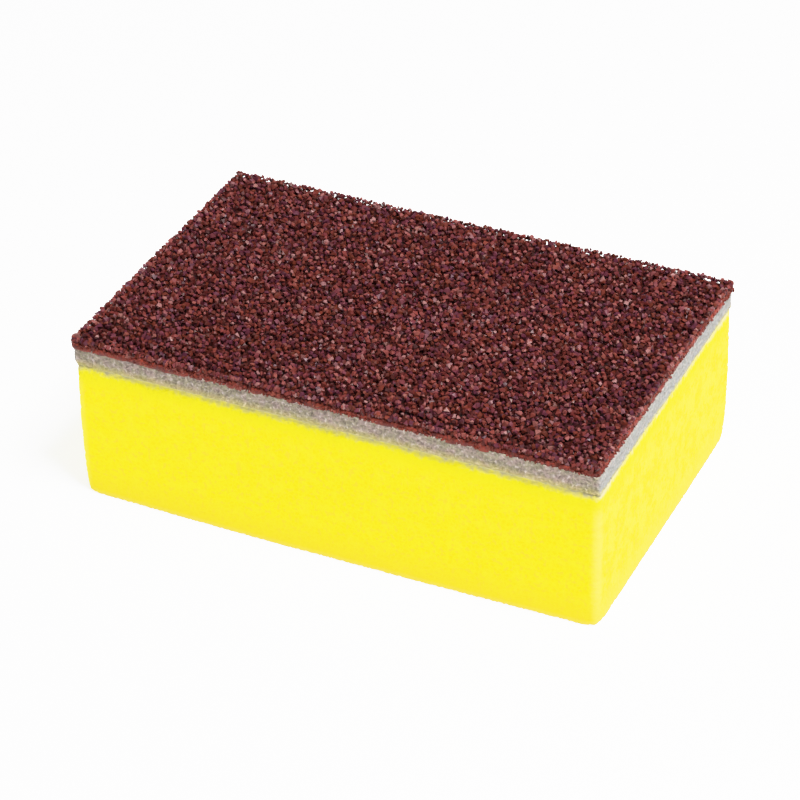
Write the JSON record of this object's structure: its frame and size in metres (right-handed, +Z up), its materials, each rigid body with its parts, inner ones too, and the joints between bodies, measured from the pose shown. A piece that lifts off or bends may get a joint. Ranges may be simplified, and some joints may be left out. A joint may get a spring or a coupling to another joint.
{
  "type": "abrasive sponge block",
  "caption": "Rectangular hand sponge of soft yellow foam with a grey backing pad and a coarse maroon abrasive face, for rubbing down and cleaning tile and grout.",
  "frame": {"origin": "centre of the foam face that the block lies on", "axes": "+X along the block's length, +Y across its width, +Z up through the foam to the abrasive face"},
  "size_m": [0.111, 0.071, 0.037],
  "materials": {
    "yellow_foam": "matte",
    "adhesive_film": "satin",
    "grey_pad": "matte",
    "red_resin": "satin",
    "maroon_grit": "matte"
  },
  "bodies": {
    "root": {"foam_block": "yellow_foam", "foam_adhesive": "adhesive_film", "backing_pad": "grey_pad", "resin_coat": "red_resin", "abrasive_grit": "maroon_grit"}
  },
  "joints": []
}
